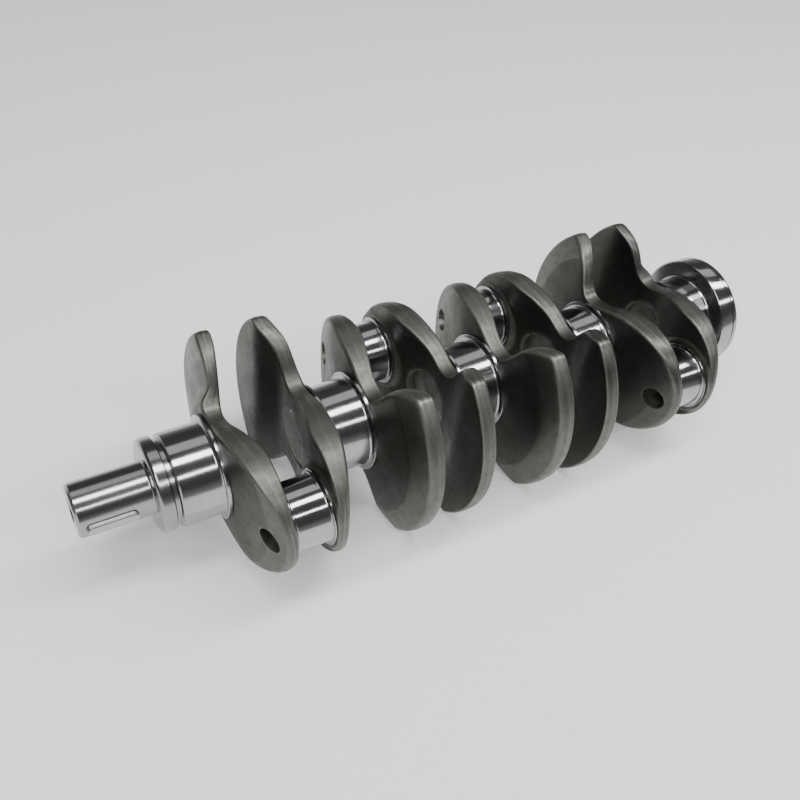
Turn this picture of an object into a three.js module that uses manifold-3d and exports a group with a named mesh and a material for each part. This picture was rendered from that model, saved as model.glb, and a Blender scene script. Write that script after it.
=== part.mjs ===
// Built-up four-throw crankshaft with five main journals.
// +X runs along the main axis from the nose to the flywheel flange.
// The throws lie in the XY plane: pins 1 and 4 at -Y, pins 2 and 3 at +Y.
// Millimetres throughout; the origin is on the main axis at mid-length.
import * as THREE from 'three';
import { mergeVertices } from 'three/addons/utils/BufferGeometryUtils.js';
import Module from 'manifold-3d';

// ---- driving dimensions -------------------------------------------------
const LENGTH = 460;            // snout end face to dowel tip
const THROW = 51;              // main axis to crankpin axis
const BORE_PITCH = 91;         // cylinder spacing
const MAIN_R = 27.5;
const MAIN_WIDTH = 24;
const PIN_R = 20;
const PIN_WIDTH = 23;          // gap between the two webs of a throw
const WEB_THICKNESS = 20;
const SHOULDER = 2;            // stand-off between a main journal and its web
const GAP = 0.3;               // clearance between neighbouring pieces

const SNOUT_R = 15.5;
const SNOUT_LENGTH = 41.5;
const COLLAR_WIDTH = 8;
const RELIEF_WIDTH = 3.5;
const FLANGE_R = 39;
const FLANGE_WIDTH = 15;
const DOWEL_PROUD = 4;

const COUNTERWEIGHT_R = 75.5;
const LOBE_R = 40;             // rounded pin end of a web
const LOBE_CENTRE = 35.5;

const ROUND = 28;              // facets round a journal

// ---- stations along the main axis ---------------------------------------
const NOSE_END = -LENGTH / 2;
const COLLAR_FRONT = NOSE_END + SNOUT_LENGTH;
const COLLAR_REAR = COLLAR_FRONT + COLLAR_WIDTH;
const MAIN_1_FRONT = COLLAR_REAR + RELIEF_WIDTH;
const MAIN_1 = MAIN_1_FRONT + MAIN_WIDTH / 2;
const mainCentre = (i) => MAIN_1 + BORE_PITCH * i;
const pinCentre = (i) => MAIN_1 + BORE_PITCH * (i + 0.5);
const MAIN_5_REAR = mainCentre(4) + MAIN_WIDTH / 2;
const FLANGE_REAR = MAIN_5_REAR + FLANGE_WIDTH;
const PIN_SIDE = [-1, 1, 1, -1];   // Y direction of each throw

// ---- materials ----------------------------------------------------------
function steel(color, roughness, metalness) {
  return new THREE.MeshStandardMaterial({ color, roughness, metalness });
}

const forged = steel(0x6f716c, 0.55, 0.8);
const ground = steel(0xb9bcc0, 0.18, 1.0);
const turned = steel(0x9a9da1, 0.32, 1.0);
const bearingSteel = steel(0xc4c8cc, 0.12, 1.0);
const brass = steel(0xb08a3c, 0.35, 1.0);

// ---- solid modelling helpers ---------------------------------------------
const wasm = await Module();
wasm.setup();

// A three.js geometry as a closed solid.
function solid(geometry) {
  const bare = new THREE.BufferGeometry();
  bare.setAttribute('position', geometry.getAttribute('position'));
  if (geometry.index) bare.setIndex(geometry.index);
  const merged = mergeVertices(bare, 1e-4);
  return new wasm.Manifold(new wasm.Mesh({
    numProp: 3,
    vertProperties: new Float32Array(merged.getAttribute('position').array),
    triVerts: new Uint32Array(merged.index.array),
  }));
}

// A closed solid as a three.js geometry.
function geometryOf(body) {
  const mesh = body.getMesh();
  const geometry = new THREE.BufferGeometry();
  geometry.setAttribute('position', new THREE.BufferAttribute(mesh.vertProperties, 3));
  geometry.setIndex(new THREE.BufferAttribute(mesh.triVerts, 1));
  geometry.computeVertexNormals();
  return geometry;
}

// A profile of [x, radius] pairs turned about the X axis.
function turnedX(profile, segments = ROUND) {
  const points = profile.map(([x, r]) => new THREE.Vector2(r, x));
  const geometry = new THREE.LatheGeometry(points, segments);
  geometry.rotateZ(-Math.PI / 2);
  return solid(geometry);
}

// A round bar along X from x0 to x1 about the line (y, z).
function barX(x0, x1, radius, y = 0, z = 0, segments = 18) {
  return turnedX([[x0, 0], [x0, radius], [x1, radius], [x1, 0]], segments).translate([0, y, z]);
}

const shaft = new THREE.Group();
shaft.name = 'crankshaft';

function addMesh(name, body, material) {
  const mesh = new THREE.Mesh(geometryOf(body), material);
  mesh.name = name;
  shaft.add(mesh);
  return mesh;
}

// ---- stubs and sockets that join the pieces --------------------------------
const MAIN_STUB_R = 18;        // passes right through the web
const MAIN_STUB_LENGTH = 10.7;
const PIN_STUB_R = 13.5;
const PIN_STUB_LENGTH = 6.5;   // enters a blind socket
const SHOULDER_R = 31;

// ---- webs -----------------------------------------------------------------
// Outline of a web in (u, v): u points from the main axis to the crankpin.
const FAN_START = THREE.MathUtils.degToRad(130);
const WAIST = [
  [-38, 54.5], [-30, 50], [-24.5, 43], [-20, 35.5], [-14.5, 30.6],
  [-7, 30], [1, 33], [10, 36.8], [22, 39.4],
];

function arcPoints(cx, radius, from, to, count) {
  const points = [];
  for (let k = 0; k <= count; k += 1) {
    const a = from + (to - from) * k / count;
    points.push(new THREE.Vector2(cx + radius * Math.cos(a), radius * Math.sin(a)));
  }
  return points;
}

function webOutline() {
  const fan = arcPoints(0, COUNTERWEIGHT_R, Math.PI, FAN_START, 6);
  const lobe = arcPoints(LOBE_CENTRE, LOBE_R, Math.PI / 2, 0, 6);
  const flank = new THREE.SplineCurve([
    fan[6], ...WAIST.map(([u, v]) => new THREE.Vector2(u, v)), lobe[0],
  ]).getPoints(18);
  const upper = [...fan.slice(0, 6), ...flank, ...lobe.slice(1)];
  const lower = upper.slice(1, -1).reverse().map((p) => new THREE.Vector2(p.x, -p.y));
  return new THREE.Shape([...upper, ...lower]);
}

// The web is drawn with u along +X, v along +Y and the pin's thrust plane on z = 0;
// the outer face looks along +Z. Both faces slope, so the cheek leans from the
// outer side at the main journal to the inner side at the crankpin.
const FLAT_R = 33;             // flat seat round the main journal
const CREASE_R = 60;           // where the counterweight's rim chamfer starts
const CREASE_THICKNESS = 16;
const RIM_THICKNESS = 10.5;
const TIP_U = LOBE_CENTRE + LOBE_R;
const TIP_THICKNESS = 6.5;
const PIN_BOSS_R = 24;         // thrust boss round the crankpin
// Inner face as [u, depth] below the thrust plane, for an inner and an end web.
const CHEEK_RELIEF = [[-100, 1], [-43, 1], [-24, 9], [3, 9], [32, 1.5], [100, 1.5]];
const END_RELIEF = [[-100, 1], [-43, 1], [-24, 5.5], [-12, 9], [3, 9], [32, 1.5], [100, 1.5]];
const HUB_R = 35;              // end webs: hub standing on a thinner counterweight
const HUB_FOOT_R = 43;
const HUB_FOOT_THICKNESS = 12.5;

function webBlank(isEnd) {
  const plate = solid(new THREE.ExtrudeGeometry(webOutline(), {
    depth: WEB_THICKNESS, bevelEnabled: false,
  }));
  const beyond = 90;
  const chamfer = (CREASE_THICKNESS - RIM_THICKNESS) / (COUNTERWEIGHT_R - CREASE_R);
  const dish = turnedX([
    [-1, 0], [-1, beyond],
    [CREASE_THICKNESS - chamfer * (beyond - CREASE_R), beyond],
    [CREASE_THICKNESS, CREASE_R], [WEB_THICKNESS, FLAT_R], [WEB_THICKNESS, 0],
  ], 36).rotate([0, -90, 0]);
  let cheek = plate.intersect(dish).subtract(tipWedge());
  if (isEnd) cheek = cheek.subtract(hubStep());
  const boss = barX(0, 10, PIN_BOSS_R, 0, 0, 24).rotate([0, -90, 0]).translate([THROW, 0, 0]);
  return cheek.subtract(cheekRelief(isEnd ? END_RELIEF : CHEEK_RELIEF).subtract(boss));
}

// Thins an end web's counterweight from outside, round the main journal's hub.
function hubStep() {
  const ring = turnedX([
    [WEB_THICKNESS, HUB_R], [HUB_FOOT_THICKNESS, HUB_FOOT_R],
    [RIM_THICKNESS, COUNTERWEIGHT_R], [RIM_THICKNESS, 90],
    [WEB_THICKNESS + 5, 90], [WEB_THICKNESS + 5, HUB_R], [WEB_THICKNESS, HUB_R],
  ], 36).rotate([0, -90, 0]);
  const side = solid(new THREE.BoxGeometry(100, 200, 60)).translate([-46, 0, 10]);
  return ring.intersect(side);
}

// Everything between the thrust plane and the sloping inner face.
function cheekRelief(profile) {
  const shape = new THREE.Shape();
  shape.moveTo(-100, -1);
  shape.lineTo(100, -1);
  [...profile].reverse().forEach(([u, depth]) => shape.lineTo(u, depth));
  const prism = new THREE.ExtrudeGeometry(shape, { depth: 200, bevelEnabled: false });
  prism.rotateX(Math.PI / 2);
  prism.translate(0, 100, 0);
  return solid(prism);
}

// Slanting cut that thins the pin end.
function tipWedge() {
  const slope = Math.atan2(WEB_THICKNESS - TIP_THICKNESS, TIP_U - FLAT_R);
  const box = new THREE.BoxGeometry(80, 100, 30);
  box.translate(40, 0, 15);
  box.rotateY(slope);
  box.translate(FLAT_R, 0, WEB_THICKNESS);
  return solid(box);
}

// Slanting lightening bore that opens the hollow pin through the web's face.
const MOUTH_R = 7.5;
const MOUTH_U = 61;
const MOUTH_DROP = 8.9;        // fall of the outer face at the mouth
const MOUTH_SLANT = THREE.MathUtils.degToRad(40);

function lighteningBore() {
  const bore = new THREE.CylinderGeometry(MOUTH_R, MOUTH_R, 40, 14);
  bore.rotateX(Math.PI / 2);
  bore.rotateY(MOUTH_SLANT);
  bore.translate(MOUTH_U, 0, WEB_THICKNESS - MOUTH_DROP);
  return solid(bore);
}

function web(isEnd) {
  const mainSocket = barX(-1, WEB_THICKNESS + 1, MAIN_STUB_R + GAP).rotate([0, -90, 0]);
  const pinSocket = barX(-1, PIN_STUB_LENGTH + GAP, PIN_STUB_R + GAP)
    .rotate([0, -90, 0]).translate([THROW, 0, 0]);
  return webBlank(isEnd).subtract(mainSocket).subtract(pinSocket).subtract(lighteningBore());
}

// Web k = 1..8, placed on its throw. Odd webs face the nose.
function addWebs() {
  const innerWeb = web(false);
  const endWeb = web(true);
  for (let k = 1; k <= 8; k += 1) {
    const throwIndex = Math.floor((k - 1) / 2);
    const facesNose = k % 2 === 1;
    const side = PIN_SIDE[throwIndex];
    const mesh = addMesh(`web_${k}`, k === 1 || k === 8 ? endWeb : innerWeb, forged);
    const inner = pinCentre(throwIndex) + (facesNose ? -1 : 1) * PIN_WIDTH / 2;
    const outward = new THREE.Vector3(facesNose ? -1 : 1, 0, 0);
    const u = new THREE.Vector3(0, side, 0);
    const v = new THREE.Vector3().crossVectors(outward, u);
    mesh.quaternion.setFromRotationMatrix(new THREE.Matrix4().makeBasis(u, v, outward));
    mesh.position.set(inner, 0, 0);
  }
}

// ---- crankpins --------------------------------------------------------------
const PIN_BORE_R = 8;
const PIN_SHOULDER_R = 22.5;
const PIN_SHOULDER = 1;

function crankpin() {
  const half = PIN_WIDTH / 2 - GAP;
  const end = PIN_WIDTH / 2 + PIN_STUB_LENGTH;
  const face = half - PIN_SHOULDER;
  return turnedX([
    [-end, PIN_BORE_R], [-end, PIN_STUB_R], [-half, PIN_STUB_R], [-half, PIN_SHOULDER_R],
    [-face, PIN_SHOULDER_R], [-face, PIN_R], [face, PIN_R], [face, PIN_SHOULDER_R],
    [half, PIN_SHOULDER_R], [half, PIN_STUB_R], [end, PIN_STUB_R], [end, PIN_BORE_R],
    [-end, PIN_BORE_R],
  ]);
}

function addCrankpins() {
  const pin = crankpin();
  for (let i = 0; i < 4; i += 1) {
    const mesh = addMesh(`crankpin_${i + 1}`, pin, ground);
    mesh.position.set(pinCentre(i), PIN_SIDE[i] * THROW, 0);
  }
}

// ---- main journals 2 to 4 ----------------------------------------------------
// End of a journal that enters a web, from the journal outwards; side is +1 or -1.
function journalEnd(x, side) {
  const seat = x + side * (SHOULDER - GAP);
  const points = [
    [x, MAIN_R], [x, SHOULDER_R], [seat, SHOULDER_R],
    [seat, MAIN_STUB_R], [x + side * (SHOULDER + MAIN_STUB_LENGTH), MAIN_STUB_R],
    [x + side * (SHOULDER + MAIN_STUB_LENGTH), 0],
  ];
  return side > 0 ? points : points.reverse();
}

function addMainJournals() {
  const half = MAIN_WIDTH / 2;
  const journal = turnedX([...journalEnd(-half, -1), ...journalEnd(half, 1)]);
  for (let i = 1; i <= 3; i += 1) {
    addMesh(`main_journal_${i + 1}`, journal, ground).position.x = mainCentre(i);
  }
}

// ---- nose shaft: snout, collar and main journal 1 -------------------------------
const KEY_WIDTH = 6;
const KEY_LENGTH = 28;
const KEY_START = 4;           // from the snout's end face
const KEY_DEPTH = 3.5;
const KEY_HEIGHT = 5.5;
const RELIEF_R = 25;
const EDGE = 1.5;              // turned edge chamfers

// Round-ended key outline, lying on the -Y side of the snout.
function keyBody(grow, floorR, topR) {
  const r = KEY_WIDTH / 2 + grow;
  const x0 = NOSE_END + KEY_START + KEY_WIDTH / 2;
  const x1 = NOSE_END + KEY_START + KEY_LENGTH - KEY_WIDTH / 2;
  const shape = new THREE.Shape();
  shape.absarc(x0, 0, r, Math.PI / 2, 3 * Math.PI / 2, false);
  shape.absarc(x1, 0, r, -Math.PI / 2, Math.PI / 2, false);
  const plate = new THREE.ExtrudeGeometry(shape, {
    depth: topR - floorR, bevelEnabled: false, curveSegments: 8,
  });
  plate.rotateX(Math.PI / 2);
  plate.translate(0, -floorR, 0);
  return solid(plate);
}

function addNose() {
  const body = turnedX([
    [NOSE_END, 0], [NOSE_END, SNOUT_R - EDGE], [NOSE_END + EDGE, SNOUT_R],
    [COLLAR_FRONT, SNOUT_R], [COLLAR_FRONT, MAIN_R - 2 * EDGE],
    [COLLAR_FRONT + 2 * EDGE, MAIN_R], [COLLAR_REAR, MAIN_R],
    [COLLAR_REAR, RELIEF_R], [MAIN_1_FRONT, RELIEF_R], [MAIN_1_FRONT, MAIN_R - 0.8],
    [MAIN_1_FRONT + 0.8, MAIN_R],
    ...journalEnd(MAIN_1_FRONT + MAIN_WIDTH, 1),
  ]);
  const boltHole = turnedX([
    [NOSE_END - 1, 0], [NOSE_END - 1, 8], [NOSE_END + 1.5, 6], [NOSE_END + 34, 6],
    [NOSE_END + 38, 0],
  ], 16);
  const slot = keyBody(GAP, SNOUT_R - KEY_DEPTH, SNOUT_R + 5);
  addMesh('nose_shaft', body.subtract(boltHole).subtract(slot), turned);
  const keyFloor = SNOUT_R - KEY_DEPTH + GAP;
  addMesh('snout_key', keyBody(0, keyFloor, keyFloor + KEY_HEIGHT), forged);
}

// ---- tail shaft: main journal 5 and flywheel flange ------------------------------
const BOLT_CIRCLE_R = 28.5;
const BOLT_HOLE_R = 4.25;
const BOLT_COUNT = 6;
const BOLT_DEPTH = 12;
const DOWEL_R = 3;
const DOWEL_DEPTH = 9;
const BEARING_R = 17.5;
const BEARING_WIDTH = 11;
const BEARING_REAR = FLANGE_REAR - 0.6;
const BEARING_CENTRE = BEARING_REAR - BEARING_WIDTH / 2;
const DOWEL_ANGLE = 0;

function aroundX(radius, angle) {
  return [radius * Math.cos(angle), radius * Math.sin(angle)];
}

function addTail() {
  const front = mainCentre(4) - MAIN_WIDTH / 2;
  let body = turnedX([
    ...journalEnd(front, -1),
    [MAIN_5_REAR, MAIN_R], [MAIN_5_REAR, FLANGE_R - 1], [MAIN_5_REAR + 1, FLANGE_R],
    [FLANGE_REAR - 1, FLANGE_R], [FLANGE_REAR, FLANGE_R - 1], [FLANGE_REAR, 0],
  ], 36);
  const pilotBore = turnedX([
    [FLANGE_REAR - 34, 0], [FLANGE_REAR - 30, 9],
    [BEARING_REAR - BEARING_WIDTH - GAP, 9],
    [BEARING_REAR - BEARING_WIDTH - GAP, BEARING_R + GAP],
    [FLANGE_REAR + 1, BEARING_R + GAP], [FLANGE_REAR + 1, 0],
  ], ROUND);
  body = body.subtract(pilotBore);
  for (let i = 0; i < BOLT_COUNT; i += 1) {
    const [y, z] = aroundX(BOLT_CIRCLE_R, 2 * Math.PI * (i + 0.5) / BOLT_COUNT);
    body = body.subtract(barX(FLANGE_REAR - BOLT_DEPTH, FLANGE_REAR + 1, BOLT_HOLE_R, y, z, 12));
  }
  const [dy, dz] = aroundX(BOLT_CIRCLE_R, DOWEL_ANGLE);
  const hole = FLANGE_REAR - DOWEL_DEPTH;
  body = body.subtract(barX(hole - GAP, FLANGE_REAR + 1, DOWEL_R + GAP, dy, dz, 12));
  addMesh('tail_shaft', body, ground);
  const dowel = turnedX([
    [hole, 0], [hole, DOWEL_R], [FLANGE_REAR + DOWEL_PROUD - 0.8, DOWEL_R],
    [FLANGE_REAR + DOWEL_PROUD, DOWEL_R - 0.8], [FLANGE_REAR + DOWEL_PROUD, 0],
  ], 12);
  addMesh('flange_dowel', dowel.translate([0, dy, dz]), bearingSteel);
}

// ---- pilot bearing in the flange bore ---------------------------------------------
const BALL_R = 3;
const BALL_PITCH_R = 12.5;
const BALL_COUNT = 8;
const INNER_BORE_R = 7.5;
const LAND = 2.1;              // race shoulder to the ball centre circle

// Half a race groove: points from x = -g to x = +g, bulging by dir.
function groove(shoulderR, bottomR) {
  const g = Math.sqrt((BALL_R + GAP) ** 2 - LAND ** 2);
  const mid = g * 0.6;
  const lift = shoulderR + (bottomR - shoulderR) * 0.72;
  return [[-g, shoulderR], [-mid, lift], [0, bottomR], [mid, lift], [g, shoulderR]];
}

function addPilotBearing() {
  const h = BEARING_WIDTH / 2;
  const outerLand = BALL_PITCH_R + LAND;
  const innerLand = BALL_PITCH_R - LAND;
  const outerRing = turnedX([
    [-h, outerLand], [-h, BEARING_R - 0.5], [-h + 0.5, BEARING_R],
    [h - 0.5, BEARING_R], [h, BEARING_R - 0.5], [h, outerLand],
    ...groove(outerLand, BALL_PITCH_R + BALL_R + GAP + 0.1).reverse(), [-h, outerLand],
  ], ROUND);
  const innerRing = turnedX([
    [-h, INNER_BORE_R + 0.5], [-h, innerLand],
    ...groove(innerLand, BALL_PITCH_R - BALL_R - GAP - 0.1), [h, innerLand],
    [h, INNER_BORE_R + 0.5], [h - 0.5, INNER_BORE_R], [-h + 0.5, INNER_BORE_R],
    [-h, INNER_BORE_R + 0.5],
  ], 24);
  addMesh('pilot_outer_ring', outerRing, bearingSteel).position.x = BEARING_CENTRE;
  addMesh('pilot_inner_ring', innerRing, bearingSteel).position.x = BEARING_CENTRE;

  const cageHalf = 4.4;
  let cage = turnedX([
    [-cageHalf, 11.6], [-cageHalf, 13.4], [cageHalf, 13.4], [cageHalf, 11.6],
    [-cageHalf, 11.6],
  ], 24);
  const ballGeometry = new THREE.SphereGeometry(BALL_R, 10, 7);
  const pocket = solid(new THREE.SphereGeometry(BALL_R + 0.5, 8, 6));
  for (let i = 0; i < BALL_COUNT; i += 1) {
    const [y, z] = aroundX(BALL_PITCH_R, 2 * Math.PI * i / BALL_COUNT);
    cage = cage.subtract(pocket.translate([0, y, z]));
    const ball = addMesh(`pilot_ball_${i + 1}`, solid(ballGeometry), bearingSteel);
    ball.position.set(BEARING_CENTRE, y, z);
  }
  addMesh('pilot_cage', cage, brass).position.x = BEARING_CENTRE;
}

addNose();
addWebs();
addCrankpins();
addMainJournals();
addTail();
addPilotBearing();

export default shaft;
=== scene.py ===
"""Visual model of a built-up four-throw crankshaft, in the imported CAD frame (metres).

Every piece replaces one node of the CAD part. Turned pieces are revolved profiles with
cuts; a web is a triangulated face on each side, joined by a rounded rim.
"""
import math

import bmesh
import bpy
import numpy as np
from mathutils import Matrix, Vector
from mathutils.geometry import delaunay_2d_cdt


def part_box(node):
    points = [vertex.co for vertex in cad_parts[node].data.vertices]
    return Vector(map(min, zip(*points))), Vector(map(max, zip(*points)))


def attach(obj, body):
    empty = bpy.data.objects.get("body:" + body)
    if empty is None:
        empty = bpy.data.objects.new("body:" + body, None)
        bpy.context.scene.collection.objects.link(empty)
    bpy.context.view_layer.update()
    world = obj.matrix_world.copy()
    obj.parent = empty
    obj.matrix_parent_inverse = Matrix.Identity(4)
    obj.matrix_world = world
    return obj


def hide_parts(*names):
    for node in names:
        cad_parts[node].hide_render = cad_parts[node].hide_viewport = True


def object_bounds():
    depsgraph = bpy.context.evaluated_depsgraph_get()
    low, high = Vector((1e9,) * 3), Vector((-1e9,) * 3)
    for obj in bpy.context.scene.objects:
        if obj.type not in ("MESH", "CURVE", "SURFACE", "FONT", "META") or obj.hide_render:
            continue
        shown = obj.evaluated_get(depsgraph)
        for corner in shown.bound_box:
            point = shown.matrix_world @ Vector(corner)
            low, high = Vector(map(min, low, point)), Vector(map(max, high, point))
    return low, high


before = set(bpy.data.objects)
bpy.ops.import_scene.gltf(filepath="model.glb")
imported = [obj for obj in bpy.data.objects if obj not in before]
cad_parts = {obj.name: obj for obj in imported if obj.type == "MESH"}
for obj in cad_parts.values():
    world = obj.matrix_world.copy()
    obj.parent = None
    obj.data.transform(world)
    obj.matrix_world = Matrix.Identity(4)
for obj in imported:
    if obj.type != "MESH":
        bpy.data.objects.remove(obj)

CAD_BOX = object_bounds()
MM = 0.001
TAU = math.tau


# ---- driving dimensions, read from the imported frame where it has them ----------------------
def lo(node, axis):
    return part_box(node)[0][axis]


def hi(node, axis):
    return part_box(node)[1][axis]


def mid(node, axis):
    return (lo(node, axis) + hi(node, axis)) / 2


NOSE_END = lo("nose_shaft", 0)
DOWEL_TIP = hi("flange_dowel", 0)
DOWEL_Y = mid("flange_dowel", 1)
DOWEL_R = 3 * MM
FLANGE_REAR = hi("tail_shaft", 0)
FLANGE_R = hi("tail_shaft", 1)
PIN_X = [mid(f"crankpin_{i}", 0) for i in range(1, 5)]
PIN_Y = [mid(f"crankpin_{i}", 1) for i in range(1, 5)]
PIN_SIDE = [1 if y > 0 else -1 for y in PIN_Y]
BORE_PITCH = PIN_X[1] - PIN_X[0]
MAIN_X = [PIN_X[0] + BORE_PITCH * (i - 0.5) for i in range(5)]
THROW = abs(PIN_Y[0])

MAIN_R = 27.5 * MM
MAIN_WIDTH = 24 * MM
PIN_R = 20 * MM
PIN_WIDTH = 23 * MM
WEB_THICKNESS = 20 * MM
SHOULDER = 2 * MM
SHOULDER_R = 31 * MM
PIN_SHOULDER_R = 22.5 * MM
PIN_SHOULDER = 1 * MM
SEAM = 0.06 * MM                 # hairline between pressed pieces
WELD = 0.01 * MM                 # corners closer than this become one
SNOUT_R = 15.5 * MM
COLLAR_FRONT = NOSE_END + 41.5 * MM
COLLAR_REAR = COLLAR_FRONT + 8 * MM
MAIN_1_FRONT = COLLAR_REAR + 3.5 * MM
MAIN_5_REAR = MAIN_X[4] + MAIN_WIDTH / 2
FILLET = 1.8 * MM
MAIN_STUB_R = 18 * MM
MAIN_STUB = 10.7 * MM
PIN_STUB_R = 13.5 * MM
PIN_STUB = 6.5 * MM
PIN_BORE_R = 8 * MM
MAIN_OIL_R = 2.6 * MM
MAIN_OIL_ANGLE = math.radians(-61.3)
PIN_OIL_R = 2.3 * MM
PIN_OIL_LEAN = 36.4              # degrees from straight down, away from the main axis
CW_R = hi("web_1", 1)            # counterweight rim
CREASE_R = 60 * MM               # start of the counterweight's rim chamfer
LOBE_R = 40 * MM
LOBE_CENTRE = 35.5 * MM
ROUND = 144                      # facets round a turned piece
RACE_ROUND = 96                  # facets round a bearing ring
SMOOTH = 32                      # degrees; sharper edges stay sharp in the shading


# ---- mesh helpers -------------------------------------------------------------------
def new_object(name, bm, material, sharp=SMOOTH):
    """An object in the scene from a bmesh, which is used up."""
    bmesh.ops.remove_doubles(bm, verts=bm.verts, dist=1e-7)
    bmesh.ops.recalc_face_normals(bm, faces=bm.faces)
    mesh = bpy.data.meshes.new(name)
    bm.to_mesh(mesh)
    bm.free()
    obj = bpy.data.objects.new(name, mesh)
    bpy.context.scene.collection.objects.link(obj)
    obj.data.materials.append(material)
    shade(obj, sharp)
    return obj


def shade(obj, sharp=SMOOTH):
    """Smooth shading, apart from edges that turn by more than an angle in degrees."""
    for polygon in obj.data.polygons:
        polygon.use_smooth = True
    obj.data.set_sharp_from_angle(angle=math.radians(sharp))


def arc(cx, cr, radius, start, end, steps=6):
    """Points of a circular arc in an (x, radius) profile; angles in degrees."""
    points = []
    for k in range(steps + 1):
        a = math.radians(start + (end - start) * k / steps)
        points.append((cx + radius * math.cos(a), cr + radius * math.sin(a)))
    return points


def turn(profile, segments=ROUND, closed=False):
    """Revolve an (x, radius) profile about the main axis; a closed one joins up with itself."""
    bm = bmesh.new()
    rings = []
    for x, r in profile:
        if r < 1e-6:
            rings.append([bm.verts.new((x, 0, 0))])
            continue
        rings.append([
            bm.verts.new((x, r * math.cos(TAU * k / segments), r * math.sin(TAU * k / segments)))
            for k in range(segments)
        ])
    pairs = list(zip(rings, rings[1:]))
    if closed:
        pairs.append((rings[-1], rings[0]))
    for a, b in pairs:
        for k in range(segments):
            n = (k + 1) % segments
            if len(a) == 1 and len(b) == 1:
                continue
            if len(a) == 1:
                bm.faces.new((a[0], b[k], b[n]))
            elif len(b) == 1:
                bm.faces.new((a[k], b[0], a[n]))
            else:
                bm.faces.new((a[k], b[k], b[n], a[n]))
    return bm


def shift(bm, x=0.0, y=0.0, z=0.0):
    bmesh.ops.translate(bm, verts=bm.verts, vec=(x, y, z))
    return bm


def cylinder(radius, length, centre, direction, segments=40, cone=None):
    """A closed round cutter about a centre, along a direction."""
    bm = bmesh.new()
    bmesh.ops.create_cone(
        bm, cap_ends=True, segments=segments, radius1=radius,
        radius2=radius if cone is None else cone, depth=length,
    )
    turn_to = Vector((0, 0, 1)).rotation_difference(Vector(direction).normalized())
    bmesh.ops.transform(bm, matrix=turn_to.to_matrix().to_4x4(), verts=bm.verts)
    return shift(bm, *centre)


def sphere(radius, around, rings, centre):
    bm = bmesh.new()
    bmesh.ops.create_uvsphere(bm, u_segments=around, v_segments=rings, radius=radius)
    return shift(bm, *centre)


def cut(obj, cutters):
    """Subtract closed cutters, one after another, and keep the result as the mesh."""
    tools = []
    for cutter in cutters:
        bmesh.ops.recalc_face_normals(cutter, faces=cutter.faces)
        mesh = bpy.data.meshes.new("cutter")
        cutter.to_mesh(mesh)
        cutter.free()
        mesh.materials.append(obj.data.materials[0])
        tool = bpy.data.objects.new("cutter", mesh)
        bpy.context.scene.collection.objects.link(tool)
        modifier = obj.modifiers.new("cut", "BOOLEAN")
        modifier.object = tool
        modifier.operation = "DIFFERENCE"
        modifier.solver = "MANIFOLD"
        tools.append(tool)
    apply_modifiers(obj)
    weld(obj)
    shade(obj)
    for tool in tools:
        mesh = tool.data
        bpy.data.objects.remove(tool)
        bpy.data.meshes.remove(mesh)


def apply_modifiers(obj):
    """Keep the modifiers' result as the mesh."""
    graph = bpy.context.evaluated_depsgraph_get()
    graph.update()
    result = bpy.data.meshes.new_from_object(obj.evaluated_get(graph))
    obj.modifiers.clear()
    old = obj.data
    obj.data = result
    bpy.data.meshes.remove(old)


def weld(obj):
    """Close up the slivers that a cut can leave."""
    bm = bmesh.new()
    bm.from_mesh(obj.data)
    bmesh.ops.remove_doubles(bm, verts=bm.verts, dist=WELD)
    bmesh.ops.dissolve_degenerate(bm, edges=bm.edges, dist=WELD)
    bm.to_mesh(obj.data)
    bm.free()


def even_normals(obj):
    """Let large faces lead the shading, so that cut edges leave no smears."""
    modifier = obj.modifiers.new("normals", "WEIGHTED_NORMAL")
    modifier.keep_sharp = True
    modifier.weight = 60         # 50 is even; more favours large faces
    apply_modifiers(obj)


def soften(obj, width, point, reach):
    """Round the sharp edges that lie near a point."""
    sharp = math.radians(28)
    bm = bmesh.new()
    bm.from_mesh(obj.data)
    edges = [
        e for e in bm.edges
        if len(e.link_faces) == 2 and e.calc_face_angle(0) > sharp
        and ((e.verts[0].co + e.verts[1].co) / 2 - point).length < reach
    ]
    bmesh.ops.bevel(
        bm, geom=edges, offset=width, offset_type="OFFSET", segments=2, profile=0.6,
        affect="EDGES", clamp_overlap=True,
    )
    bm.to_mesh(obj.data)
    bm.free()
    shade(obj)


def paint(obj, material, chosen):
    """Give another material to the faces whose centre and normal pass a test."""
    obj.data.materials.append(material)
    index = len(obj.data.materials) - 1
    for polygon in obj.data.polygons:
        if chosen(polygon.center, polygon.normal):
            polygon.material_index = index


def declare(obj, body, node):
    """Tell the frame which body a piece rides on and the node it replaces."""
    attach(obj, body)
    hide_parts(node)


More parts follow.
